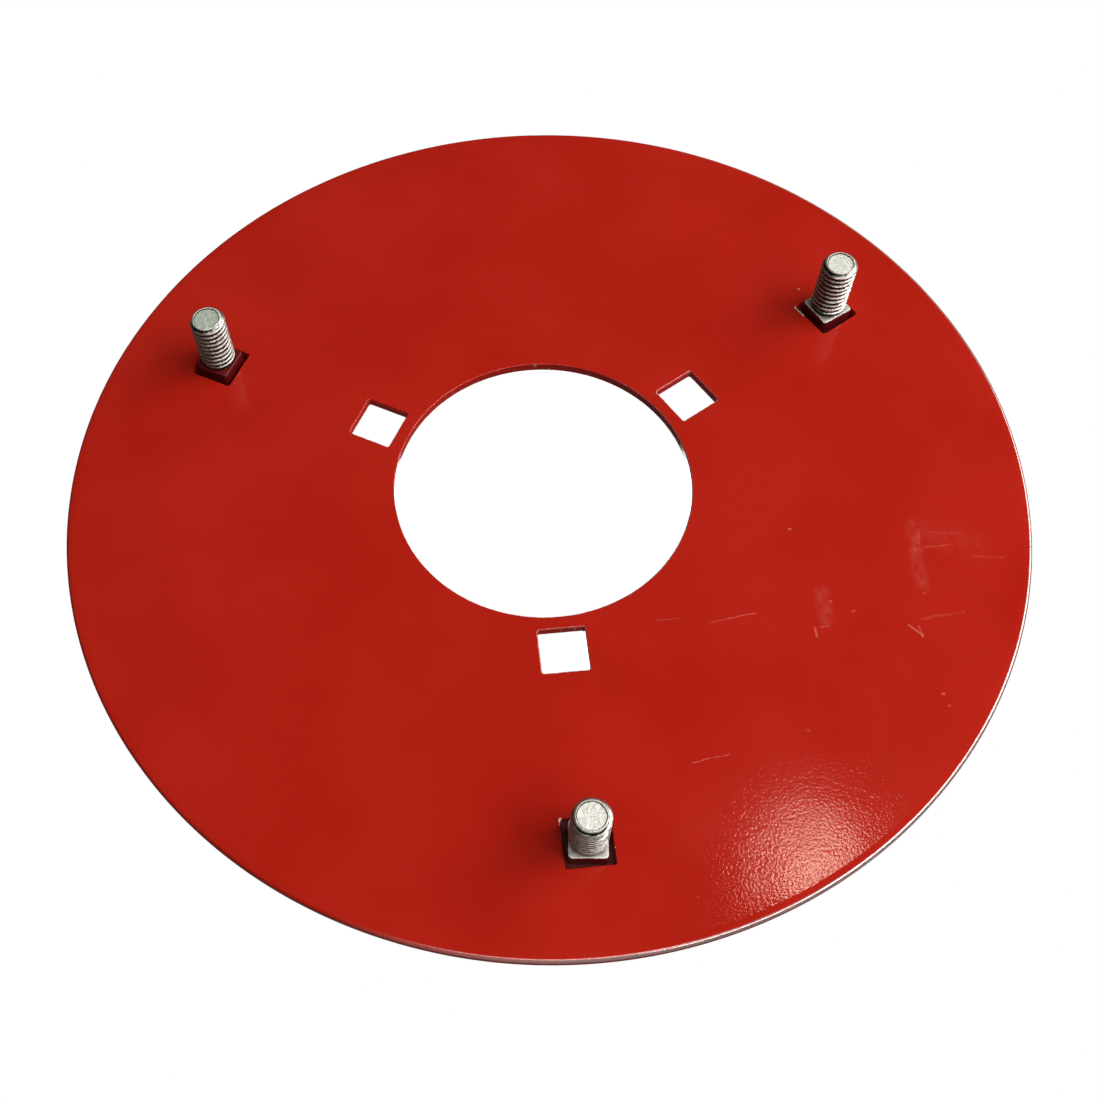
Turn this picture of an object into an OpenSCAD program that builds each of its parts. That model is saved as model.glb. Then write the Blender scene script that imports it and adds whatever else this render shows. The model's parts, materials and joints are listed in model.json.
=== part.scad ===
// Round flange plate with a large centre opening, cut from thin painted sheet.
// Three square-neck bolts stand loose in square holes near the rim, and three
// empty square holes of the same size lie close around the opening.
//
// Origin: centre of the opening, on the face that the bolts stand out of.
// +Z points the way the bolts stand. The first hole of each circle is on -Y.

/* [Plate] */
// Outside diameter of the plate
plate_d = 254; // [220:1:300]
// Thickness of the sheet
plate_t = 2.66; // [2:0.01:4]
// Diameter of the centre opening
bore_d = 79; // [60:0.5:80]
// Width of the bevel around both edges of the rim
rim_bevel = 0.3; // [0.1:0.05:0.6]

/* [Square holes] */
// Side of every square hole
hole_side = 12; // [11.5:0.1:13]
// Radius in the corners of every square hole
hole_corner_r = 0.6; // [0.3:0.1:1.2]
// Circle through the centres of the empty inner holes
inner_circle_d = 98; // [96:0.5:120]
// Circle through the centres of the bolt holes
bolt_circle_d = 198; // [180:0.5:200]

/* [Bolts] */
// Major diameter of the thread
thread_d = 9.525; // [8:0.005:9.525]
// Length of a bolt under its head
bolt_length = 21.6; // [18:0.1:60]
// Length of the bevel at the end of the thread
thread_bevel = 0.9; // [0.4:0.1:1.4]
// Side of the square neck, no less than the thread is wide
neck_side = 9.6; // [9.6:0.1:9.9]
// Depth of the square neck under the head
neck_depth = 4.7; // [4.1:0.1:5.5]
// Diameter of the circle that rounds off the neck's corners
neck_corner_d = 12.9; // [12:0.1:13]
// Diameter of the domed head
head_d = 20.6; // [19.8:0.1:21.5]
// Height of the domed head
head_h = 5; // [4.5:0.1:5.5]
// Height of the upright rim around the head
head_rim_h = 0.8; // [0.4:0.1:1.2]
// How far each bolt is turned in its hole, in degrees
bolt_turns = [-6, -3, 0]; // [-10:1:10]

/* [Hidden] */
$fn = 96;
hole_count = 3;
cut_margin = 1;
bearing_z = -plate_t;
dome_h = head_h - head_rim_h;
dome_r = (pow(head_d / 2, 2) + pow(dome_h, 2)) / (2 * dome_h);

// Puts its children at one of the evenly spaced places on a circle, with +X outwards
module at_place(circle_d, place) {
    rotate([0, 0, 360 / hole_count * place - 90])
        translate([circle_d / 2, 0, 0])
            children();
}

// Outline of a square hole with round corners
module hole_outline() {
    corner_offset = hole_side / 2 - hole_corner_r;
    square([hole_side, 2 * corner_offset], center = true);
    square([2 * corner_offset, hole_side], center = true);
    for (x = [-corner_offset, corner_offset], y = [-corner_offset, corner_offset])
        translate([x, y]) circle(r = hole_corner_r);
}

module square_hole() {
    translate([0, 0, -plate_t - cut_margin])
        linear_extrude(plate_t + 2 * cut_margin)
            hole_outline();
}

// Half section of the ring: plain at the opening, bevelled at the rim
module ring_section() {
    inner_r = bore_d / 2;
    outer_r = plate_d / 2;
    polygon([
        [inner_r, -plate_t],
        [outer_r - rim_bevel, -plate_t],
        [outer_r, rim_bevel - plate_t],
        [outer_r, -rim_bevel],
        [outer_r - rim_bevel, 0],
        [inner_r, 0]
    ]);
}

module flange_plate() {
    color([0.69, 0.12, 0.09])
        difference() {
            rotate_extrude() ring_section();
            for (place = [0:hole_count - 1]) {
                at_place(inner_circle_d, place) square_hole();
                at_place(bolt_circle_d, place) square_hole();
            }
        }
}

// Shallow dome on a low upright rim, with its flat side against the plate
module bolt_head() {
    intersection() {
        translate([0, 0, bearing_z - head_h]) cylinder(d = head_d, h = head_h);
        translate([0, 0, bearing_z - head_h + dome_r]) sphere(r = dome_r);
    }
}

// Square neck that keeps the bolt from turning; it starts inside the head
module bolt_neck() {
    translate([0, 0, bearing_z - head_rim_h])
        linear_extrude(head_rim_h + neck_depth)
            intersection() {
                square(neck_side, center = true);
                circle(d = neck_corner_d);
            }
}

// Plain shaft at the thread's major diameter, bevelled at its end
module bolt_shaft() {
    plain_length = bolt_length - thread_bevel;
    translate([0, 0, bearing_z]) cylinder(d = thread_d, h = plain_length);
    translate([0, 0, bearing_z + plain_length])
        cylinder(d1 = thread_d, d2 = thread_d - 2 * thread_bevel, h = thread_bevel);
}

module carriage_bolt(place) {
    color([0.74, 0.74, 0.70])
        at_place(bolt_circle_d, place)
            rotate([0, 0, bolt_turns[place]]) {
                bolt_head();
                bolt_neck();
                bolt_shaft();
            }
}

flange_plate();
for (place = [0:hole_count - 1])
    carriage_bolt(place);
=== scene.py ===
"""Looks of a ring flange plate: a painted steel ring with three loose, zinc-plated square-neck bolts.

Shapes are worked out in millimetres and become metres when their mesh is built. Angles are in degrees.
Azimuths go from +X towards +Y.
"""
import bisect
import json
import math

import bmesh
import bpy
import numpy as np
from mathutils import Matrix, Vector, geometry, noise


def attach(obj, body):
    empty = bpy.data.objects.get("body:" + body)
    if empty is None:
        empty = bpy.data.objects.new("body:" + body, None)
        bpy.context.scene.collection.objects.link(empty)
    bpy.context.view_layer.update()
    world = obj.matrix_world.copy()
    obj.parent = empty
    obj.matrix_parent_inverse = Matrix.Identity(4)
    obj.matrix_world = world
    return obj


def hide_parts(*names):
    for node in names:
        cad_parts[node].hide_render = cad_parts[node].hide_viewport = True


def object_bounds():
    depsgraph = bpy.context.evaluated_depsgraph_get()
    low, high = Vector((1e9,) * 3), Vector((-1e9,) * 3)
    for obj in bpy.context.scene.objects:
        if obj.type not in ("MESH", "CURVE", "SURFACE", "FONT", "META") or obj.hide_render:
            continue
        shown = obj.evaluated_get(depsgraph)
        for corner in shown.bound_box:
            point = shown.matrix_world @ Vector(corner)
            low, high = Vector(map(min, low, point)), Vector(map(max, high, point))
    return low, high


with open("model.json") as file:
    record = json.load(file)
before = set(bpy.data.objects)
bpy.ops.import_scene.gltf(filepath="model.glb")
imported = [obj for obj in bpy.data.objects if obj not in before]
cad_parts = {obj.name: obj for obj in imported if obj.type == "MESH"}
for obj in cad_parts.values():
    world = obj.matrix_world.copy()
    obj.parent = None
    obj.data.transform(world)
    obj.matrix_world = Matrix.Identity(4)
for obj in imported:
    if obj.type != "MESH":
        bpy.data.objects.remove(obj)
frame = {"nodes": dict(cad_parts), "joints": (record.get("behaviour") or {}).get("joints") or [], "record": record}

CAD_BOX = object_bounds()
# Without a seed of its own, noise_vector differs from run to run
NOISE_SEED = 7
MM = 0.001
# Two CAD coordinates closer than this, in millimetres, count as equal
TOUCHING = 0.001
HOLE_COUNT = 3
FIRST_HOLE_AZIMUTH = -90
# The azimuth on which the plate's edges are most rubbed to pale bare steel; the band is laid on the side the
# lights face, so it also paints in the edges' highlight
RUBBED_AND_LIT_AZIMUTH = -25
# Each bolt's CAD node, its body, and from 0 to 1 how much of its neck's shelf the run paint has reached,
# a dark red that also paints in shade there, and how tarnished its end is
BOLTS = (
    ("carriage_bolt_1", "bolt_1", 0.25, 0.0),
    ("carriage_bolt_2", "bolt_2", 0.1, 0.15),
    ("carriage_bolt_3", "bolt_3", 0.9, 0.8),
)


# ---------------------------------------------------------------- measuring the frame

def cad_points(node):
    """A CAD node's vertices, one row each, in millimetres."""
    return np.array([vertex.co for vertex in frame["nodes"][node].data.vertices]) / MM


def mount_sizes(name):
    """The dimensions that the record gives for a mount, in millimetres."""
    return next(mount["dims"] for mount in frame["record"]["mounts"] if mount["name"] == name)


def measure_plate():
    """Sizes of the CAD plate. The square holes are all alike, so one on -Y is measured."""
    points = cad_points("flange_plate")
    search_half = 10
    bolt_circle_r = mount_sizes("studs")["pcd_mm"] / 2
    from_hole = points[:, :2] + (0, bolt_circle_r)
    around_hole = np.abs(from_hole[np.abs(from_hole).max(axis=1) < search_half])
    hole_half = around_hole[:, 0].max()
    on_side = around_hole[around_hole[:, 0] > hole_half - TOUCHING]
    low, high = np.array(frame["record"]["physics"]["openings"][0]["box_m"]) / MM
    return {
        "rim_r": np.hypot(points[:, 0], points[:, 1]).max(),
        "bore_r": mount_sizes("centre_bore")["r_mm"],
        "thickness": -points[:, 2].min(),
        "bolt_circle_r": bolt_circle_r,
        "inner_circle_r": np.hypot(*(low + high)[:2] / 2),
        "hole_half": hole_half,
        "hole_corner_r": hole_half - on_side[:, 1].max(),
    }


def measure_bolt(node):
    """Sizes of one CAD bolt, with radii from its own axis."""
    points = cad_points(node)
    neck_margin = 0.1
    axis = (points.min(axis=0) + points.max(axis=0))[:2] / 2
    across = points[:, :2] - axis
    height = points[:, 2]
    reach = np.hypot(across[:, 0], across[:, 1])
    head_r = reach.max()
    thread_r = mount_sizes("studs")["stud_r_mm"]
    above_head = height > -PLATE["thickness"] + TOUCHING
    corners = above_head & (reach > thread_r + neck_margin)
    directions = np.arctan2(across[corners, 1], across[corners, 0])
    corner_direction = np.angle(np.exp(4j * directions).sum()) / 4
    turn = corner_direction - math.pi / 4
    along_side = across[corners] @ (math.cos(turn), math.sin(turn))
    return {
        "axis": Vector((axis[0], axis[1], 0)),
        "turn": turn,
        "head_r": head_r,
        "head_bottom": height.min(),
        "head_rim_bottom": height[reach > head_r - TOUCHING].min(),
        "bearing": -PLATE["thickness"],
        "neck_half": np.abs(along_side).max(),
        "neck_corner_reach": reach[corners].max(),
        "neck_top": height[corners].max(),
        "thread_r": thread_r,
        "end": height.max(),
    }


PLATE = measure_plate()


# ---------------------------------------------------------------- building meshes

class Skin:
    """Points, faces and per-point marks of one piece, in millimetres, until it becomes a mesh."""

    def __init__(self, *mark_names):
        self.points = []
        self.faces = []
        self.marks = {name: [] for name in mark_names}

    def point(self, position, **marks):
        self.points.append(Vector(position))
        for name, values in self.marks.items():
            values.append(marks.get(name, 0.0))
        return len(self.points) - 1

    def face(self, *corners):
        """Adds a face, and leaves out corners that repeat the one before."""
        kept = [corner for i, corner in enumerate(corners) if corner != corners[i - 1]]
        if len(kept) > 2:
            self.faces.append(kept)

    def band(self, lower, upper):
        """Joins two closed rings that have the same number of points."""
        for i in range(len(lower)):
            self.face(lower[i - 1], lower[i], upper[i], upper[i - 1])

    def fan(self, ring, tip):
        for i in range(len(ring)):
            self.face(ring[i - 1], ring[i], tip)

    def build(self, name, sharp_angle):
        """Makes the mesh object, in metres, with its faces outwards and smooth up to sharp_angle."""
        mesh = bpy.data.meshes.new(name)
        mesh.from_pydata([point * MM for point in self.points], [], self.faces)
        work = bmesh.new()
        work.from_mesh(mesh)
        bmesh.ops.recalc_face_normals(work, faces=work.faces)
        work.to_mesh(mesh)
        work.free()
        for mark_name, values in self.marks.items():
            attribute = mesh.attributes.new(mark_name, "FLOAT", "POINT")
            attribute.data.foreach_set("value", values)
        mesh.shade_smooth()
        mesh.set_sharp_from_angle(angle=math.radians(sharp_angle))
        piece = bpy.data.objects.new(name, mesh)
        bpy.context.scene.collection.objects.link(piece)
        return piece


def smooth_step(value):
    """0 up to 0, 1 from 1 on, and an even curve in between."""
    share = min(max(value, 0.0), 1.0)
    return share * share * (3 - 2 * share)


def mix(low, high, share):
    return low + (high - low) * share


def polar(radius, angle, height=0.0):
    return Vector((radius * math.cos(angle), radius * math.sin(angle), height))


# ---------------------------------------------------------------- the plate

def circle_outline(radius, count, into_sheet):
    """Points of a circle, each with the direction that leads into the sheet: 1 is outwards."""
    angles = [math.tau * i / count for i in range(count)]
    return [(polar(radius, angle), polar(into_sheet, angle)) for angle in angles]


def square_outline(circle_r, azimuth, side_steps=24, corner_steps=6):
    """Points of a round-cornered square hole, each with the direction that leads into the sheet."""
    corner_r = PLATE["hole_corner_r"]
    corner_offset = PLATE["hole_half"] - corner_r
    outline = []
    for quarter in range(4):
        start = math.pi / 2 * quarter
        corner = polar(corner_offset * math.sqrt(2), start + math.pi / 4)
        for step in range(corner_steps + 1):
            direction = polar(1, start + math.pi / 2 * step / corner_steps)
            outline.append((corner + direction * corner_r, direction))
        side_start, direction = outline[-1]
        side = polar(2 * corner_offset, start + math.pi)
        for step in range(1, side_steps):
            outline.append((side_start + side * step / side_steps, direction))
    turn = Matrix.Rotation(math.radians(azimuth), 3, "Z")
    centre = Vector((circle_r, 0, 0))
    return [(turn @ (point + centre), turn @ direction) for point, direction in outline]


def hole_places():
    """(circle radius, azimuth) of every square hole."""
    azimuths = [FIRST_HOLE_AZIMUTH + 360 / HOLE_COUNT * place for place in range(HOLE_COUNT)]
    circles = (PLATE["inner_circle_r"], PLATE["bolt_circle_r"])
    return [(circle_r, azimuth) for circle_r in circles for azimuth in azimuths]


def into_sheet(point):
    """How far a point lies inside the sheet's outline, seen from above. Below 0 it is off the sheet."""
    reach = math.hypot(point[0], point[1])
    depths = [PLATE["rim_r"] - reach, reach - PLATE["bore_r"]]
    straight = PLATE["hole_half"] - PLATE["hole_corner_r"]
    for circle_r, azimuth in hole_places():
        angle = math.atan2(point[1], point[0]) - math.radians(azimuth)
        along = abs(reach * math.cos(angle) - circle_r) - straight
        across = abs(reach * math.sin(angle)) - straight
        outside = math.hypot(max(along, 0), max(across, 0)) + min(max(along, across), 0)
        depths.append(outside - PLATE["hole_corner_r"])
    return min(depths)


def edge_profile(top_round, bottom_round, rolled_width=0.0, rolled_drop=0.0, steps=6):
    """(inset, height, exposed_and_lit) down an edge: an optional rolled-off slope, a rounding, the wall and a
    rounding. exposed_and_lit is 1 halfway round the top rounding, where paint wears thin first and where the
    lights' highlight falls, so the pale band laid there is partly a painted highlight."""
    bottom = -PLATE["thickness"]
    slope_start = 0.2
    slope_start_drop = 0.1 * rolled_drop
    profile = []
    if rolled_width:
        profile.append((rolled_width, 0.0, 0.0))
        profile.append((rolled_width - slope_start, -slope_start_drop, 0.0))
    for step in range(steps + 1):
        angle = math.pi / 2 * step / steps
        height = -rolled_drop - top_round * (1 - math.cos(angle))
        profile.append((top_round * (1 - math.sin(angle)), height, math.sin(2 * angle)))
    for step in range(steps + 1):
        angle = math.pi / 2 * step / steps
        height = bottom + bottom_round * (1 - math.sin(angle))
        profile.append((bottom_round * (1 - math.cos(angle)), height, 0.0))
    return profile


def rubbing_and_highlight(point):
    """How much pale bare steel the plate's edges get at a point, as rubbed paint and as a painted highlight on the
    side the lights face: 1 round about one azimuth, and 0 opposite it.
    """
    side_share = 0.13
    spread = 1.3
    facing = math.cos(math.atan2(point.y, point.x) - math.radians(RUBBED_AND_LIT_AZIMUTH))
    return smooth_step(side_share + spread * facing)


def edge_rings(skin, outline, profile, unevenness, chipping, polish):
    """Rings of points down one edge, joined by faces. Paint makes the rounding wander a little."""
    waves_per_mm = 0.9
    chipped_from = 1 / 8
    rings = []
    for inset, height, exposed_and_lit in profile:
        ring = []
        for point, direction in outline:
            wander = 1 + unevenness * noise.noise(point * waves_per_mm)
            position = point + direction * inset * wander
            position.z = height * wander if height > -PLATE["thickness"] / 2 else height
            chipped = chipping * smooth_step((profile[0][0] - inset) / chipped_from)
            # Pale bare steel on the rounding that faces the lights: rubbed paint, and a painted highlight
            polished = polish * exposed_and_lit * rubbing_and_highlight(point)
            ring.append(skin.point(position, chipping=chipped, polish=polished))
        rings.append(ring)
    for upper, lower in zip(rings, rings[1:]):
        skin.band(upper, lower)
    return rings[0], rings[-1]


def in_sheet(triangle, ring_starts):
    """Tells whether a triangle, given as (input point, place) corners, lies in the sheet. One with all
    its corners on the rim is inside the rim when they turn left in the rim's own order. One with all
    its corners on a hole is outside that hole when they turn right."""
    (a, place_a), (b, place_b), (c, place_c) = sorted(triangle, key=lambda corner: corner[0])
    ring = bisect.bisect(ring_starts, a)
    if ring == len(ring_starts) or bisect.bisect(ring_starts, c) != ring:
        return True
    turns_left = (place_b - place_a).cross(place_c - place_a) > 0
    return turns_left == (ring == 1)


def fill_flat(skin, rings, height, spacing=4.0):
    """Fills the sheet between closed rings, the rim's first, with even triangles. The holes stay open."""
    points, edges, owners, ring_starts = [], [], [], []
    for ring in rings:
        start = len(points)
        ring_starts.append(start)
        for i, owner in enumerate(ring):
            points.append(skin.points[owner].to_2d())
            edges.append((start + i, start + (i + 1) % len(ring)))
            owners.append(owner)
    ring_starts.append(len(points))
    row_height = spacing * math.sqrt(3) / 2
    rows = math.ceil(PLATE["rim_r"] / row_height)
    for row in range(-rows, rows + 1):
        for column in range(-rows, rows + 1):
            point = Vector(((column + row % 2 / 2) * spacing, row * row_height))
            if into_sheet(point) > spacing:
                points.append(point)
                owners.append(skin.point((point.x, point.y, height)))
    welding = 1e-5
    places, _, triangles, origins, _, _ = geometry.delaunay_2d_cdt(points, edges, [], 0, welding)
    for triangle in triangles:
        corners = [(origins[corner][0], places[corner]) for corner in triangle]
        if in_sheet(corners, ring_starts):
            skin.face(*[owners[corner] for corner, _ in corners])


def build_plate():
    """The painted ring, with paint-rounded edges round the rim, the opening and the square holes."""
    skin = Skin("chipping", "polish")
    rim_profile = edge_profile(top_round=1.0, bottom_round=0.3, rolled_width=2.4, rolled_drop=0.08)
    hole_profile = edge_profile(top_round=0.35, bottom_round=0.3)
    rim = circle_outline(PLATE["rim_r"], count=512, into_sheet=-1)
    opening = circle_outline(PLATE["bore_r"], count=320, into_sheet=1)
    rings = [
        # The edges' pale bare-steel band is rubbed paint and also a painted highlight on the side the lights face
        edge_rings(skin, rim, rim_profile, unevenness=0.06, chipping=0.0, polish=0.85),
        edge_rings(skin, opening, hole_profile, unevenness=0.5, chipping=0.3, polish=0.2),
    ]
    for circle_r, azimuth in hole_places():
        chipping, polish = (1.0, 0.0) if circle_r == PLATE["bolt_circle_r"] else (0.4, 0.2)
        outline = square_outline(circle_r, azimuth)
        rings.append(edge_rings(skin, outline, hole_profile, 0.5, chipping, polish))
    fill_flat(skin, [top for top, _ in rings], 0.0)
    fill_flat(skin, [bottom for _, bottom in rings], -PLATE["thickness"])
    plate = skin.build("painted_plate", sharp_angle=60)
    plate.modifiers.new("even_shading", "WEIGHTED_NORMAL").keep_sharp = True
    return plate


# ---------------------------------------------------------------- the bolts

# Points round a bolt
COLUMNS = 96
# A unified coarse thread of 16 turns to the inch. The crest's and the root's flats are shares of a turn.
PITCH = 25.4 / 16
THREAD_DEPTH = 0.6134 * PITCH
CREST_SHARE = 0.125
ROOT_SHARE = 0.167
# How pale and worn the lip round a bolt's end and the edge of its neck are, from 0 to 1
WORN_LIP = 0.85
WORN_SHELF = 0.7
# How far, in millimetres, the surface of a bolt wanders
FORGED_ROUGHNESS = 0.03
# Where one turn of the thread is sampled, from crest to crest
THREAD_SAMPLES = (0, 0.09, 0.16, 0.24, 0.32, 0.41, 0.5, 0.59, 0.68, 0.76, 0.84, 0.91)


def cut_depth(turns):
    """The depth of the thread's groove, from 0 on a rounded crest to 1 at a root."""
    from_crest = abs(turns - round(turns))
    flank_start = CREST_SHARE / 2
    flank_end = 0.5 - ROOT_SHARE / 2
    return smooth_step((from_crest - flank_start) / (flank_end - flank_start))


def forged(position, roughness):
    """Moves a point a little, as forging and plating leave a surface uneven."""
    waves_per_mm = 1.1
    return position + noise.noise_vector(position * waves_per_mm) * roughness


def ring_of(skin, size, radius_at, height, roughness=FORGED_ROUGHNESS, **marks):
    """A closed ring round a bolt's axis. radius_at gives its radius for each column's angle."""
    ring = []
    for column in range(COLUMNS):
        angle = size["turn"] + math.tau * column / COLUMNS
        position = size["axis"] + polar(radius_at(angle), angle, height)
        ring.append(skin.point(forged(position, roughness), **marks))
    return ring


def neck_outline(size, inset=0.0):
    """Radius of the square neck's outline at an angle. Its corners are arcs that reach as far out as
    the CAD neck's corners do."""
    half = size["neck_half"]
    corner_r = (half * math.sqrt(2) - size["neck_corner_reach"]) / (math.sqrt(2) - 1)
    centre = half - corner_r

    def radius_at(angle):
        across = abs(math.cos(angle - size["turn"]))
        along = abs(math.sin(angle - size["turn"]))
        flat = half / max(across, along)
        if flat * min(across, along) < centre:
            return flat - inset
        towards = centre * (across + along)
        return towards + math.sqrt(towards ** 2 - 2 * centre ** 2 + corner_r ** 2) - inset
    return radius_at


def round_outline(radius):
    return lambda angle: radius


def head_rings(skin, size):
    """The domed head, from its tip to its flat bearing face."""
    dome_height = size["head_rim_bottom"] - size["head_bottom"]
    dome_r = (size["head_r"] ** 2 + dome_height ** 2) / (2 * dome_height)
    widest = math.asin(size["head_r"] / dome_r)
    steps = 14
    rounding = 0.2
    tip = skin.point(size["axis"] + Vector((0, 0, size["head_bottom"])))
    rings = []
    for step in range(1, steps):
        slope = widest * step / steps
        height = size["head_bottom"] + dome_r * (1 - math.cos(slope))
        rings.append(ring_of(skin, size, round_outline(dome_r * math.sin(slope)), height))
    rim = (
        (size["head_r"] - rounding, size["head_rim_bottom"] - rounding / 2),
        (size["head_r"], size["head_rim_bottom"] + rounding),
        (size["head_r"], size["bearing"] - rounding),
        (size["head_r"] - rounding, size["bearing"]),
        (size["neck_corner_reach"] + 3, size["bearing"]),
    )
    rings += [ring_of(skin, size, round_outline(radius), height, 0.01) for radius, height in rim]
    # The bearing face that shows through the hole gets the run paint's dark red: painted shade in the gap round
    # the neck, as well as run paint
    seen_through_hole = round_outline(size["neck_corner_reach"] + 2)
    rings.append(ring_of(skin, size, seen_through_hole, size["bearing"], 0.01, paint=1.0))
    skin.fan(rings[0], tip)
    return rings


def neck_rings(skin, size, shelf_paint):
    """The square neck, with a soft upper edge and the narrow shelf round the foot of the thread.
    Paint has run down its sides; its dark red also paints in the shade that falls on them."""
    rounding = 0.3
    wall_steps = 6
    edge_steps = 3
    rings = []
    for step in range(wall_steps + 1):
        height = mix(size["bearing"], size["neck_top"] - rounding, step / wall_steps)
        rings.append(ring_of(skin, size, neck_outline(size), height, 0.04, paint=1.0))
    for step in range(1, edge_steps + 1):
        slope = math.pi / 2 * step / edge_steps
        outline = neck_outline(size, rounding * (1 - math.cos(slope)))
        height = size["neck_top"] - rounding * (1 - math.sin(slope))
        paint = mix(1.0, shelf_paint, step / edge_steps)
        rings.append(ring_of(skin, size, outline, height, 0.1, paint=paint, end_face=WORN_SHELF))
    return rings


def thread_heights(size, lead):
    """Heights of the points up one column, which climb with the helix. lead is how much of a turn the
    column stands round the bolt. A point past either end of the shank stays at that end."""
    foot, end = size["neck_top"], size["end"]
    samples = len(THREAD_SAMPLES)
    turns = math.ceil((end - foot) / PITCH + 2)
    heights = []
    for line in range(samples * turns + 1):
        climb = line // samples + THREAD_SAMPLES[line % samples] - 1 + lead
        heights.append(min(max(foot + PITCH * climb, foot), end))
    return heights


def shank_surface(size, lead, height, shelf_paint):
    """(radius, marks) at a height on a column. The thread grows out of a thinner shank at the foot, and
    runs out into a bevel at the end."""
    bevel_height = 1.0
    bevel_depth = 1.05
    lip_height = 0.5
    # The foot of the thread is marked part-way as a groove, which darkens the crease round it: painted shade as
    # well as grime
    foot_groove = 0.3
    thread_start = 0.25
    shank_r = size["thread_r"] - 0.62 * THREAD_DEPTH
    turns = (height - size["neck_top"]) / PITCH
    below_end = size["end"] - height
    threaded = size["thread_r"] - THREAD_DEPTH * cut_depth(turns - lead)
    radius = mix(shank_r, threaded, smooth_step(turns - thread_start))
    outside = size["thread_r"] - bevel_depth * max(1 - below_end / bevel_height, 0)
    if height == size["neck_top"]:
        return min(radius, outside), {"groove": foot_groove, "paint": shelf_paint}
    # The groove mark darkens the grooves in the material: grime, and painted shade
    groove = max(outside - radius, 0) / THREAD_DEPTH
    worn = WORN_LIP * smooth_step(1 - below_end / lip_height)
    return min(radius, outside), {"groove": groove, "end_face": worn}


def thread_columns(skin, size, shelf_paint):
    """The threaded shank as columns of points. Points of a column at the same height are one point, so
    the columns share their first and last points with flat rings, which are returned."""
    columns = []
    for column in range(COLUMNS):
        lead = column / COLUMNS
        heights = thread_heights(size, lead)
        indices = []
        for line, height in enumerate(heights):
            if line and height == heights[line - 1]:
                indices.append(indices[-1])
                continue
            radius, marks = shank_surface(size, lead, height, shelf_paint)
            position = size["axis"] + polar(radius, size["turn"] + math.tau * lead, height)
            indices.append(skin.point(forged(position, FORGED_ROUGHNESS), **marks))
        columns.append(indices)
    a_turn_up = columns[0][len(THREAD_SAMPLES):]
    for here, beside in zip(columns, columns[1:] + [a_turn_up]):
        for line in range(min(len(here), len(beside)) - 1):
            skin.face(here[line], beside[line], beside[line + 1], here[line + 1])
    return [indices[0] for indices in columns], [indices[-1] for indices in columns]


def end_rings(skin, size, edge, tarnish):
    """The sheared end of the shank: an uneven, worn lip round a sunken, grainy face."""
    edge_r = (skin.points[edge[0]] - size["axis"]).to_2d().length
    sunk = 0.3
    lip_width = 0.16
    wall_width = 0.14
    steps = 9
    lip = round_outline(edge_r - lip_width)
    face_r = edge_r - lip_width - wall_width
    wall_foot = round_outline(face_r)
    rings = [
        ring_of(skin, size, lip, size["end"], 0.1, end_face=WORN_LIP),
        # The foot of the sunken face's wall is marked as a groove, so it is painted near-black: painted shade in
        # that crease
        ring_of(skin, size, wall_foot, size["end"] - sunk, 0.1, groove=1.0),
    ]
    for step in range(steps):
        outline = round_outline((face_r - wall_width) * (1 - step / steps))
        height = size["end"] - sunk
        rings.append(ring_of(skin, size, outline, height, 0.08, end_face=1.0, tarnish=tarnish))
    centre = size["axis"] + Vector((0, 0, size["end"] - sunk))
    skin.fan(rings[-1], skin.point(centre, end_face=1.0, tarnish=tarnish))
    return rings


def build_bolt(node, shelf_paint, tarnish):
    """One closed mesh: domed head, square neck, rolled thread and sheared end."""
    size = measure_bolt(node)
    skin = Skin("groove", "end_face", "paint", "tarnish")
    rings = head_rings(skin, size) + neck_rings(skin, size, shelf_paint)
    foot, edge = thread_columns(skin, size, shelf_paint)
    for lower, upper in zip(rings, rings[1:] + [foot]):
        skin.band(lower, upper)
    last = edge
    for ring in end_rings(skin, size, edge, tarnish):
        skin.band(last, ring)
        last = ring
    return skin.build("zinc_" + node, sharp_angle=50)


# ---------------------------------------------------------------- material helpers

def add_node(tree, kind, inputs=None, **settings):
    """Adds a node. inputs maps a socket's name or number to a value, or to a socket to link."""
    node = tree.nodes.new(kind)
    for name, value in settings.items():
        setattr(node, name, value)
    for key, value in (inputs or {}).items():
        if isinstance(value, bpy.types.NodeSocket):
            tree.links.new(value, node.inputs[key])
        else:
            node.inputs[key].default_value = value
    return node


def vector_math(tree, operation, *values):
    node = add_node(tree, "ShaderNodeVectorMath", dict(enumerate(values)), operation=operation)
    return node.outputs["Value" if operation in ("LENGTH", "DOT_PRODUCT") else "Vector"]


def scalar_math(tree, operation, *values, clamped=False):
    inputs = dict(enumerate(values))
    return add_node(tree, "ShaderNodeMath", inputs, operation=operation, use_clamp=clamped).outputs[0]


def remap(tree, value, low, high, to_low=0.0, to_high=1.0):
    """Smoothly maps low..high to to_low..to_high, and holds both ends."""
    inputs = {"Value": value, 1: low, 2: high, 3: to_low, 4: to_high}
    return add_node(tree, "ShaderNodeMapRange", inputs, interpolation_type="SMOOTHSTEP").outputs[0]


def blend_colour(tree, share, first, second):
    inputs = {0: share, 6: first, 7: second}
    return add_node(tree, "ShaderNodeMix", inputs, data_type="RGBA").outputs[2]


def grain(tree, place, size, detail=2.0, stretch=(1, 1, 1)):
    """Noise with features about size millimetres across, times stretch along each axis."""
    scaled = vector_math(tree, "DIVIDE", place, [size * factor for factor in stretch])
    inputs = {"Vector": scaled, "Scale": 1.0, "Detail": detail}
    return add_node(tree, "ShaderNodeTexNoise", inputs).outputs[0]


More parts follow.
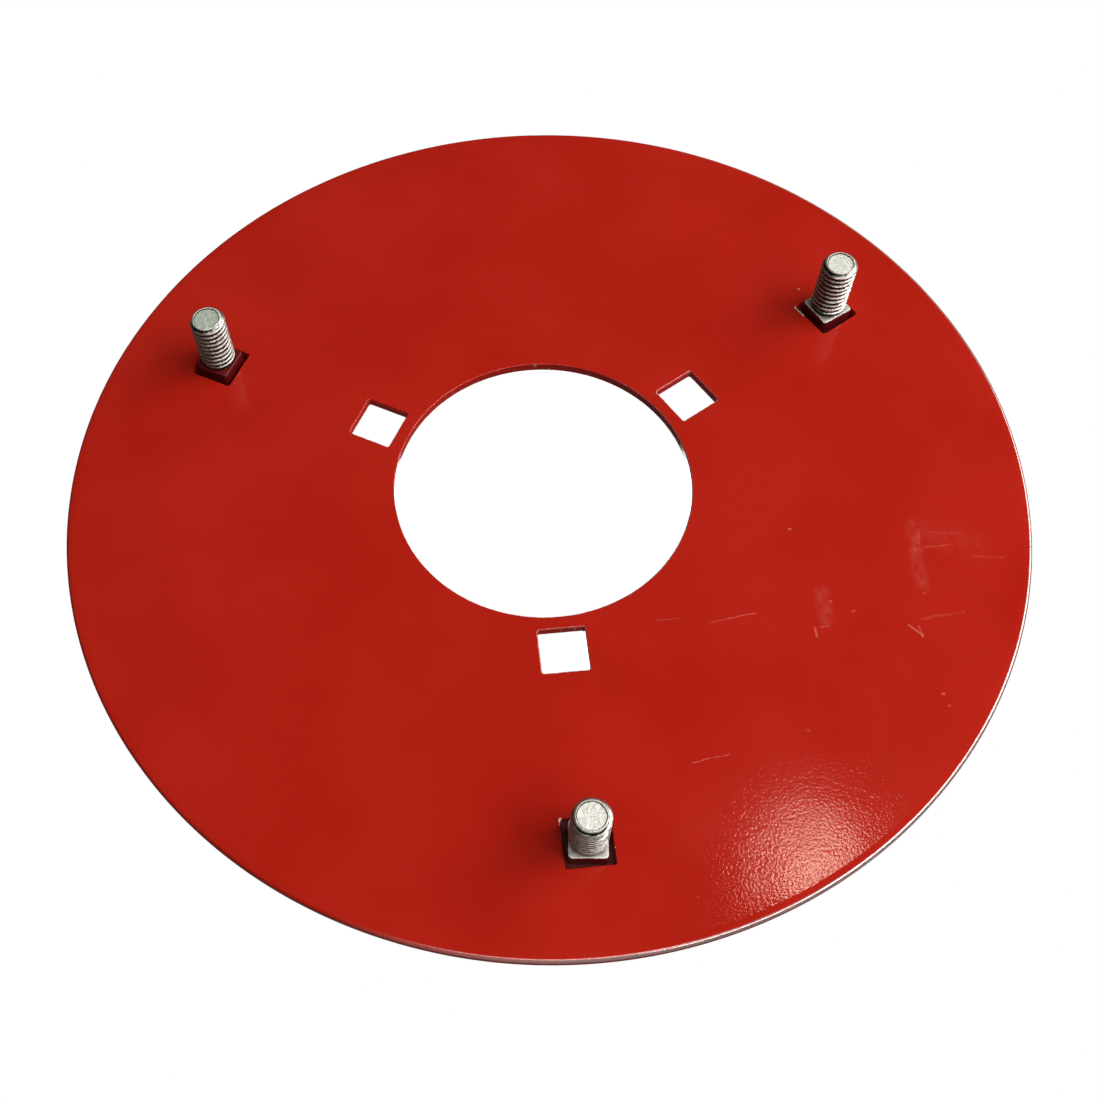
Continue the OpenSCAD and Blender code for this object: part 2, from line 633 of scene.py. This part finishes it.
def bump(tree, height, depth, normal=None):
    """Turns a height from 0 to 1 into relief of that depth, in millimetres, on top of another bump."""
    inputs = {"Height": height, "Distance": depth * MM, "Strength": 1.0}
    if normal is not None:
        inputs["Normal"] = normal
    return add_node(tree, "ShaderNodeBump", inputs).outputs[0]


def start_material(name):
    """A new material's tree, its shader and the place on the object, in millimetres."""
    material = bpy.data.materials.new(name)
    material.use_nodes = True
    tree = material.node_tree
    shader = tree.nodes["Principled BSDF"]
    coordinates = add_node(tree, "ShaderNodeTexCoord").outputs["Object"]
    place = vector_math(tree, "DIVIDE", coordinates, (MM, MM, MM))
    return material, tree, shader, place


def mark_value(tree, name):
    return add_node(tree, "ShaderNodeAttribute", attribute_name=name).outputs["Fac"]


# ---------------------------------------------------------------- the red paint

PAINT_DEEP = (0.46, 0.013, 0.005, 1)
PAINT_BRIGHT = (0.50, 0.017, 0.008, 1)
DUST = (0.7, 0.3, 0.25, 1)
RUBBED_PAINT = (0.60, 0.12, 0.09, 1)
SCRATCHED_PAINT = (0.80, 0.25, 0.19, 1)
PRIMER = (0.95, 0.70, 0.66, 1)
# Pale bare steel for the rubbed edges, also a painted highlight where they face the lights
BARE_STEEL_AND_HIGHLIGHT = (0.82, 0.74, 0.70, 1)
# Fine scratches in the paint: (from, to, width, strength). Places and widths are in millimetres, here and
# below, and a strength is from 0 to 1.
SCRATCHES = (
    ((24, -43.2), (30, -42.8), 0.45, 0.2),
    ((36.5, -45.2), (43, -44.5), 0.4, 0.25),
    ((42, -44.6), (49, -43.7), 0.45, 0.5),
    ((27.5, -81.6), (36.5, -80.4), 0.4, 0.5),
    ((86.5, -50.6), (89, -53.8), 0.9, 0.4),
    ((88.8, -51.2), (89, -54.2), 0.8, 0.4),
    ((63, -49), (62.8, -51.4), 0.8, 0.5),
    ((64.5, -49), (66.5, -48.8), 0.5, 0.35),
    ((95, -24.5), (94.8, -28), 0.5, 0.35),
    ((96, -29.2), (102, -28.8), 0.7, 0.2),
    ((107, -33), (115, -34), 0.8, 0.12),
    ((90, -49.4), (101, -48.4), 1.0, 0.15),
    ((97, -24.5), (106, -26), 0.9, 0.12),
)
# Specks where the paint is nicked: (place, width, strength)
SPECKS = (
    ((62, -20), 1.1, 0.5),
    ((56, -76.5), 1.3, 0.35),
    ((90.5, -69.6), 1.1, 0.45),
    ((91, -73), 0.9, 0.35),
    ((68.5, -42), 1.0, 0.35),
    ((92, -42), 1.0, 0.35),
    ((73.5, -45), 1.2, 0.25),
)
# Rubbed patches: (from, to, width, strength)
SMUDGES = (
    ((67, -39), (66.5, -47), 6, 0.3),
    ((93.5, -22), (94, -30), 5, 0.26),
    ((93, -30), (92.5, -40), 5, 0.3),
    ((97, -25), (108, -30), 13, 0.1),
)
# Chips that bare the pale primer at the holes' edges, like the scratches
CHIPS = (
    ((-6.0, -93.2), (-5.8, -92.9), 0.9, 1.0),
    ((77.3, 51.3), (79.1, 48.2), 0.7, 1.0),
    ((79.5, 57.7), (79.6, 57.7), 0.8, 0.6),
)


def stroke_group():
    """A node group that gives 1 on a stroke between two points, and 0 beyond its width and its ends."""
    tree = bpy.data.node_groups.new("stroke", "ShaderNodeTree")
    for name, kind in (("Place", "Vector"), ("From", "Vector"), ("To", "Vector"), ("Width", "Float")):
        tree.interface.new_socket(name, in_out="INPUT", socket_type="NodeSocket" + kind)
    tree.interface.new_socket("Mask", in_out="OUTPUT", socket_type="NodeSocketFloat")
    source = add_node(tree, "NodeGroupInput").outputs
    flat_place = vector_math(tree, "MULTIPLY", source["Place"], (1, 1, 0))
    offset = vector_math(tree, "SUBTRACT", flat_place, source["From"])
    run = vector_math(tree, "SUBTRACT", source["To"], source["From"])
    squared = vector_math(tree, "DOT_PRODUCT", run, run)
    share = scalar_math(tree, "DIVIDE", vector_math(tree, "DOT_PRODUCT", offset, run), squared)
    held = scalar_math(tree, "MAXIMUM", scalar_math(tree, "MINIMUM", share, 1.0), 0.0)
    along = add_node(tree, "ShaderNodeVectorMath", {0: run, "Scale": held}, operation="SCALE").outputs[0]
    distance = vector_math(tree, "LENGTH", vector_math(tree, "SUBTRACT", offset, along))
    ratio = scalar_math(tree, "DIVIDE", distance, source["Width"])
    add_node(tree, "NodeGroupOutput", {0: remap(tree, ratio, 0.0, 0.5, 1.0, 0.0)})
    return tree


def stroke_mask(tree, group, place, strokes):
    """The sum of the strokes, each as strong as it says."""
    total = 0.0
    for start, stop, width, strength in strokes:
        inputs = {"Place": place, "From": (*start, 0), "To": (*stop, 0), "Width": width}
        mask = add_node(tree, "ShaderNodeGroup", inputs, node_tree=group).outputs[0]
        total = scalar_math(tree, "MULTIPLY_ADD", mask, strength, total)
    return total


def paint_wear(tree, place, group, broken):
    """(scratches and specks, rubbed patches) of the plate's top face. They wander a little, and the
    scratches come and go with the broken pattern."""
    speck_length = 0.3
    wobble = add_node(tree, "ShaderNodeTexNoise", {"Vector": place, "Scale": 0.1, "Detail": 2.0}).outputs[1]
    wobbled = vector_math(tree, "MULTIPLY_ADD", wobble, (2, 2, 0), place)
    centred = vector_math(tree, "SUBTRACT", wobbled, (1, 1, 0))
    height = add_node(tree, "ShaderNodeSeparateXYZ", {0: place}).outputs["Z"]
    on_top = remap(tree, height, -0.2, -0.1)

    dots = [(spot, (spot[0] + speck_length, spot[1]), width, strength) for spot, width, strength in SPECKS]
    scratched = stroke_mask(tree, group, centred, SCRATCHES + tuple(dots))
    scratched = scalar_math(tree, "MULTIPLY", scratched, remap(tree, broken, 0, 1, 0.35, 1))
    streaks = remap(tree, grain(tree, place, 2.6, 3.0, (0.8, 1.4, 1)), 0.25, 0.7)
    rubbed = scalar_math(tree, "MULTIPLY", stroke_mask(tree, group, centred, SMUDGES), streaks)
    return [scalar_math(tree, "MULTIPLY", mask, on_top) for mask in (scratched, rubbed)]


def red_paint():
    """Semi-gloss powder coat: orange peel, faint mottling, rubbed patches, scratches, chipped edges round
    the holes and a rim that is rubbed down to bare steel on the side the lights face, a pale band that also paints
    in the rim's highlight."""
    material, tree, shader, place = start_material("red_powder_coat")
    group = stroke_group()
    broken = remap(tree, grain(tree, place, 1.2), 0.35, 0.55)
    scratched, rubbed = paint_wear(tree, place, group, broken)
    chips = remap(tree, grain(tree, place, 1.4, 5.0), 0.65, 0.68)
    chipped = scalar_math(tree, "MULTIPLY", chips, mark_value(tree, "chipping"))
    chipped = scalar_math(tree, "MAXIMUM", chipped, stroke_mask(tree, group, place, CHIPS))
    # The pale bare-steel band: rubbed paint, and a painted highlight on the edges that face the lights
    polished = scalar_math(tree, "MULTIPLY", mark_value(tree, "polish"), remap(tree, broken, 0, 1, 0.7, 1))

    mottling = remap(tree, grain(tree, place, 38, 4.0), 0.35, 0.65)
    dusty = remap(tree, grain(tree, place, 0.5, 3.0), 0.66, 0.8, 0.0, 0.06)
    colour = blend_colour(tree, mottling, PAINT_DEEP, PAINT_BRIGHT)
    colour = blend_colour(tree, dusty, colour, DUST)
    colour = blend_colour(tree, rubbed, colour, RUBBED_PAINT)
    colour = blend_colour(tree, scratched, colour, SCRATCHED_PAINT)
    colour = blend_colour(tree, chipped, colour, PRIMER)
    colour = blend_colour(tree, polished, colour, BARE_STEEL_AND_HIGHLIGHT)
    tree.links.new(colour, shader.inputs["Base Color"])
    bare = scalar_math(tree, "SUBTRACT", polished, chipped, clamped=True)
    tree.links.new(bare, shader.inputs["Metallic"])

    gloss = remap(tree, grain(tree, place, 14, 4.0), 0.3, 0.7, 0.08, 0.11)
    gloss = scalar_math(tree, "MULTIPLY_ADD", rubbed, 0.3, gloss)
    gloss = scalar_math(tree, "MULTIPLY_ADD", chipped, 0.2, gloss, clamped=True)
    tree.links.new(gloss, shader.inputs["Roughness"])
    shader.inputs["IOR"].default_value = 1.5

    waviness = bump(tree, grain(tree, place, 22, 1.0), 0.10)
    orange_peel = bump(tree, grain(tree, place, 0.7, 1.5), 0.024, waviness)
    relief = bump(tree, scratched, -0.01, orange_peel)
    tree.links.new(relief, shader.inputs["Normal"])
    return material


# ---------------------------------------------------------------- the zinc

PALE_ZINC = (0.60, 0.60, 0.55, 1)
DARK_ZINC = (0.44, 0.43, 0.37, 1)
STAIN = (0.22, 0.20, 0.15, 1)
SHEARED_PALE = (0.98, 0.98, 0.91, 1)
SHEARED_DARK = (0.62, 0.60, 0.44, 1)
TARNISH = (0.30, 0.38, 0.28, 1)
# Near-black for the thread's grooves and the bolt's creases: grime, and painted shade where the grooves lie in
# shadow
GRIME_AND_SHADE = (0.020, 0.016, 0.012, 1)
# A dark red, far darker than the plate's paint, for paint run onto the necks: it also paints in the shade on the
# neck's sides and in the gap round it
PAINT_RUN_AND_SHADE = (0.11, 0.002, 0.003, 1)


def zinc_colour(tree, place, end_face, groove_grime_and_shade, painted):
    """Blotchy plating, pale where the end was sheared, near-black in the grooves with grime and painted shade, and
    dark red under run paint, which also paints in shade.
    """
    blotches = remap(tree, grain(tree, place, 2.2, 5.0), 0.4, 0.62)
    stains = remap(tree, grain(tree, place, 0.8, 4.0, (1, 1, 3)), 0.55, 0.72, 0.0, 0.5)
    plated = blend_colour(tree, blotches, PALE_ZINC, DARK_ZINC)
    plated = blend_colour(tree, stains, plated, STAIN)

    crystals = remap(tree, grain(tree, place, 0.4, 4.0), 0.34, 0.54)
    speckle = remap(tree, grain(tree, place, 0.6, 4.0), 0.3, 0.6, 0.55, 1.0)
    tarnished = scalar_math(tree, "MULTIPLY", mark_value(tree, "tarnish"), speckle)
    sheared = blend_colour(tree, crystals, SHEARED_DARK, SHEARED_PALE)
    sheared = blend_colour(tree, tarnished, sheared, TARNISH)

    colour = blend_colour(tree, end_face, plated, sheared)
    colour = blend_colour(tree, groove_grime_and_shade, colour, GRIME_AND_SHADE)
    return blend_colour(tree, painted, colour, PAINT_RUN_AND_SHADE)


def zinc():
    """Dull zinc plating: blotchy, fine-grained, near-black in the grooves with grime and painted shade, pale and
    coarse on the sheared end, and dark red where the plate's paint has run onto the neck, a colour that also
    paints in the shade there."""
    material, tree, shader, place = start_material("dull_zinc")
    end_face = mark_value(tree, "end_face")
    # Grooves and creases turn near-black: grime, and painted shade
    soil_and_shade = scalar_math(tree, "ADD", mark_value(tree, "groove"), grain(tree, place, 0.7, 3.0))
    groove_grime_and_shade = remap(tree, soil_and_shade, 0.72, 1.1)
    # Run paint on the neck and the bearing face, in a dark red that also paints in shade
    drips_and_shade = scalar_math(tree, "ADD", mark_value(tree, "paint"), grain(tree, place, 1.3, 3.0))
    painted = remap(tree, drips_and_shade, 0.85, 1.15)
    colour = zinc_colour(tree, place, end_face, groove_grime_and_shade, painted)
    tree.links.new(colour, shader.inputs["Base Color"])

    metal = scalar_math(tree, "MULTIPLY_ADD", end_face, -0.85, 0.95)
    metal = scalar_math(tree, "SUBTRACT", metal, painted, clamped=True)
    tree.links.new(metal, shader.inputs["Metallic"])
    dullness = remap(tree, grain(tree, place, 1.4, 4.0), 0.3, 0.7, 0.34, 0.46)
    dullness = scalar_math(tree, "MULTIPLY_ADD", end_face, 0.12, dullness)
    dullness = scalar_math(tree, "MULTIPLY_ADD", groove_grime_and_shade, 0.2, dullness)
    tree.links.new(dullness, shader.inputs["Roughness"])

    fine = bump(tree, grain(tree, place, 0.35, 4.0), 0.025)
    coarse = scalar_math(tree, "MULTIPLY", grain(tree, place, 0.5, 3.0), end_face)
    relief = bump(tree, coarse, 0.12, fine)
    tree.links.new(relief, shader.inputs["Normal"])
    return material


# ---------------------------------------------------------------- floor, light and camera

WHITE = (1, 1, 1)
WARM = (1, 0.74, 0.6)
CENTRE = (0, 0, 0)
GLINT_PLACE = (0.051, -0.1115, 0)
# (name, the point it faces, azimuth, elevation, distance, width, height, radiance, colour), in metres:
# a broad key at the right with a lower light beside it, a dimmer one at the front for the rim, a soft one
# behind the camera, one for the underside, and a small warm lamp that glints on the plate
LIGHTS = (
    ("key", CENTRE, -14, 45, 2.2, 1.5, 0.9, 7.5, WHITE),
    ("side", CENTRE, 16, 28, 2.2, 1.6, 1.0, 6.0, WHITE),
    ("front", CENTRE, -50, 42, 2.0, 1.5, 0.8, 3.4, WHITE),
    ("overhead", CENTRE, -90, 70, 2.2, 1.2, 0.8, 3.5, WHITE),
    ("underside", CENTRE, 90, -55, 2.0, 1.6, 1.2, 3.5, WHITE),
    ("glint", GLINT_PLACE, 46, 69.5, 1.5, 0.1, 0.1, 17.5, WARM),
)


def direction_to(azimuth, elevation):
    """Unit vector towards an azimuth and an elevation above the horizon."""
    flat = math.cos(math.radians(elevation))
    upright = math.sin(math.radians(elevation))
    return polar(flat, math.radians(azimuth), upright)


def add_light(name, target, azimuth, elevation, distance, width, height, radiance, colour):
    """A soft elliptical light that faces target. radiance is how bright it looks, whatever its size."""
    data = bpy.data.lights.new(name, "AREA")
    data.color = colour
    data.shape = "ELLIPSE"
    data.size = width
    data.size_y = height
    data.energy = radiance * math.pi * math.pi / 4 * width * height
    lamp = bpy.data.objects.new(name, data)
    offset = direction_to(azimuth, elevation)
    lamp.location = Vector(target) + offset * distance
    lamp.rotation_euler = offset.to_track_quat("Z", "Y").to_euler()
    bpy.context.scene.collection.objects.link(lamp)


def add_world():
    """Dim surroundings, lighter below the horizon, behind a white backdrop that only the camera sees."""
    world = bpy.data.worlds.new("studio")
    world.use_nodes = True
    bpy.context.scene.world = world
    tree = world.node_tree
    background = tree.nodes["Background"]
    direction = add_node(tree, "ShaderNodeTexCoord").outputs["Generated"]
    upwards = add_node(tree, "ShaderNodeSeparateXYZ", {0: direction}).outputs["Z"]
    above = remap(tree, upwards, -0.05, 0.25)
    surroundings = blend_colour(tree, above, (0.08, 0.078, 0.076, 1), (0.04, 0.038, 0.036, 1))
    seen = add_node(tree, "ShaderNodeLightPath").outputs["Is Camera Ray"]
    tree.links.new(blend_colour(tree, seen, surroundings, (1, 1, 1, 1)), background.inputs["Color"])


def add_floor():
    """A plain white floor, low enough that a bolt can slide all the way out above it. It shines evenly,
    lights nothing and can't be seen from below."""
    lowest_travel = min(joint["range_m"][0] for joint in frame["joints"])
    clearance = 0.008
    floor_r = 4
    place = (0, 0, CAD_BOX[0].z + lowest_travel - clearance)
    bpy.ops.mesh.primitive_circle_add(vertices=128, radius=floor_r, fill_type="NGON", location=place)
    floor = bpy.context.object
    floor.name = "floor"
    floor.visible_diffuse = False
    floor.visible_glossy = False
    floor.visible_shadow = False
    material = bpy.data.materials.new("white_floor")
    material.use_nodes = True
    tree = material.node_tree
    tree.nodes.remove(tree.nodes["Principled BSDF"])
    glow = add_node(tree, "ShaderNodeEmission", {"Strength": 1.0})
    clear = add_node(tree, "ShaderNodeBsdfTransparent")
    underside = add_node(tree, "ShaderNodeNewGeometry").outputs["Backfacing"]
    shown = add_node(tree, "ShaderNodeMixShader", {0: underside, 1: glow.outputs[0], 2: clear.outputs[0]})
    tree.links.new(shown.outputs[0], tree.nodes["Material Output"].inputs["Surface"])
    floor.data.materials.append(material)


def add_camera():
    """The camera looks down at the plate from the front, set to the left and rolled a little. Its target
    and its distance are worked out from the plate's radius."""
    plate_r = PLATE["rim_r"] * MM
    elevation = math.radians(64.8)
    roll = math.radians(4.27)
    turn = Matrix.Rotation(math.radians(-0.91), 3, "Z")
    target = Vector((-0.1816, -0.3958, 0)) * plate_r
    distance = 2.586 * plate_r
    back = Vector((0, -math.cos(elevation), math.sin(elevation)))
    level_right = Vector((1, 0, 0))
    level_up = back.cross(level_right)
    right = level_right * math.cos(roll) - level_up * math.sin(roll)
    up = level_right * math.sin(roll) + level_up * math.cos(roll)
    data = bpy.data.cameras.new("camera")
    data.sensor_width = 36
    data.lens = 43.04
    data.shift_x = 0.0738
    data.shift_y = 0.1013
    data.clip_start = 0.01
    camera = bpy.data.objects.new("camera", data)
    facing = turn @ Matrix((right, up, back)).transposed()
    camera.matrix_world = Matrix.Translation(turn @ (target + back * distance)) @ facing.to_4x4()
    bpy.context.scene.collection.objects.link(camera)
    bpy.context.scene.camera = camera


# ---------------------------------------------------------------- the scene

def place_piece(piece, material, body, node):
    piece.data.materials.append(material)
    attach(piece, body)
    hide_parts(node)


add_camera()
for light in LIGHTS:
    add_light(*light)
add_world()
add_floor()
bpy.context.scene.view_settings.view_transform = "Standard"

noise.seed_set(NOISE_SEED)
place_piece(build_plate(), red_paint(), "plate", "flange_plate")
zinc_plating = zinc()
for bolt_node, bolt_body, painted_shelf, tarnished_end in BOLTS:
    bolt = build_bolt(bolt_node, painted_shelf, tarnished_end)
    place_piece(bolt, zinc_plating, bolt_body, bolt_node)
